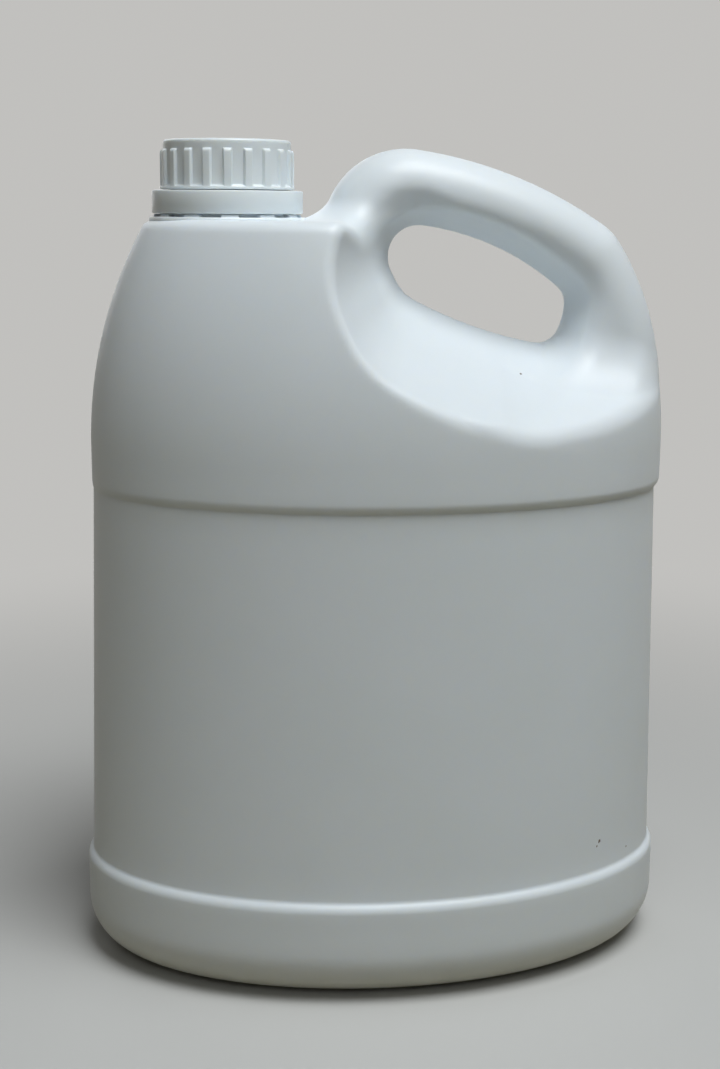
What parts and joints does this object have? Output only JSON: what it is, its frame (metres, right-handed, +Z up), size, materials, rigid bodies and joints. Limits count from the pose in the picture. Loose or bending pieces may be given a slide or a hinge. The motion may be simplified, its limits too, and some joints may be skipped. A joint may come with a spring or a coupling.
{
  "type": "plastic jerrycan",
  "caption": "Oval blow-moulded plastic jerrycan with a hollow side handle, recessed panel, and a ribbed screw cap over a tamper ring.",
  "frame": {"origin": "centre of the base, on the standing surface", "axes": "+Z up, +X along the width from the neck side to the handle side, +Y to the back; the mould's parting plane is Y = 0"},
  "size_m": [0.1972, 0.1202, 0.2695],
  "materials": {
    "bottle_plastic": "natural white blow-moulded polyethylene, satin, slightly translucent",
    "cap_plastic": "opaque white moulded polypropylene, low gloss",
    "liner_foam": "white foamed polyethylene sheet"
  },
  "bodies": {
    "bottle_body": {"bottle": "bottle_plastic", "tamper_ring": "cap_plastic"},
    "rising_liner": {"cap_liner": "liner_foam"},
    "turning_cap": {"cap": "cap_plastic"}
  },
  "joints": [
    {"name": "cap_rise", "type": "slide", "parent": "bottle_body", "child": "rising_liner", "axis": [0, 0, 1], "range_m": [0, 0.01694]},
    {"name": "cap_turn", "type": "hinge", "parent": "rising_liner", "child": "turning_cap", "pos_m": [-0.049, 0, 0.26], "axis": [0, 0, 1], "range_deg": [0, 1440]}
  ],
  "couplings": [
    {"joint": "cap_rise", "follows": "cap_turn", "m_per_rad": 0.00067376}
  ]
}
